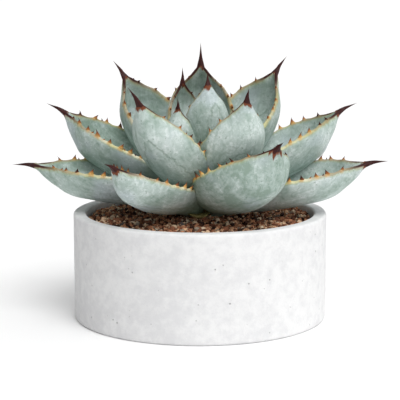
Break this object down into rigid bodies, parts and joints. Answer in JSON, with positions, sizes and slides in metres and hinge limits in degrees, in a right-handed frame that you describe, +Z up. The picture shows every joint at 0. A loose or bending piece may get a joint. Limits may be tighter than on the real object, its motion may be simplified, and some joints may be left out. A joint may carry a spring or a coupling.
{
  "type": "potted agave",
  "caption": "Agave rosette of thick cupped blue-grey leaves with toothed margins and long dark spines, in a low round concrete bowl of gritty soil.",
  "frame": {"origin": "centre of the bowl's flat underside, on the axis of the bowl and of the rosette", "axes": "+Z up, +X to the viewer's right along the widest spread of the leaves, -Y towards the viewer"},
  "size_m": [0.3684, 0.2574, 0.2695],
  "materials": {
    "concrete": "smooth cast concrete, matt, very light grey, faintly mottled with small pits",
    "gritty_soil": "coarse crumbly cactus soil with red-brown, tan and dark grit",
    "stem_bark": "fibrous pale brown bark",
    "leaf_skin": "waxy matt blue-grey bloom over green, with amber teeth and dark red-brown spines",
    "dry_leaf": "dry fibrous straw-coloured leaf"
  },
  "bodies": {
    "root": {"bowl": "concrete", "soil": "gritty_soil", "stem_and_roots": "stem_bark", "bud": "leaf_skin", "outer_leaf_left": "leaf_skin", "outer_leaf_front_left": "leaf_skin", "outer_leaf_front_right": "leaf_skin", "outer_leaf_right": "leaf_skin", "outer_leaf_back_right": "leaf_skin", "outer_leaf_back": "leaf_skin", "outer_leaf_back_left": "leaf_skin", "middle_leaf_left": "leaf_skin", "middle_leaf_front_left": "leaf_skin", "middle_leaf_front_right": "leaf_skin", "middle_leaf_right": "leaf_skin", "middle_leaf_back_right": "leaf_skin", "middle_leaf_back_left": "leaf_skin", "upper_leaf_left": "leaf_skin", "upper_leaf_right": "leaf_skin", "upper_leaf_back": "leaf_skin", "inner_leaf_front": "leaf_skin", "inner_leaf_front_left": "leaf_skin", "inner_leaf_back_left": "leaf_skin", "inner_leaf_right": "leaf_skin", "dry_leaf_base_1": "dry_leaf", "dry_leaf_base_2": "dry_leaf", "dry_leaf_base_3": "dry_leaf", "dry_leaf_base_4": "dry_leaf", "dry_leaf_base_5": "dry_leaf", "dry_leaf_base_6": "dry_leaf", "dry_leaf_base_7": "dry_leaf"}
  },
  "joints": []
}
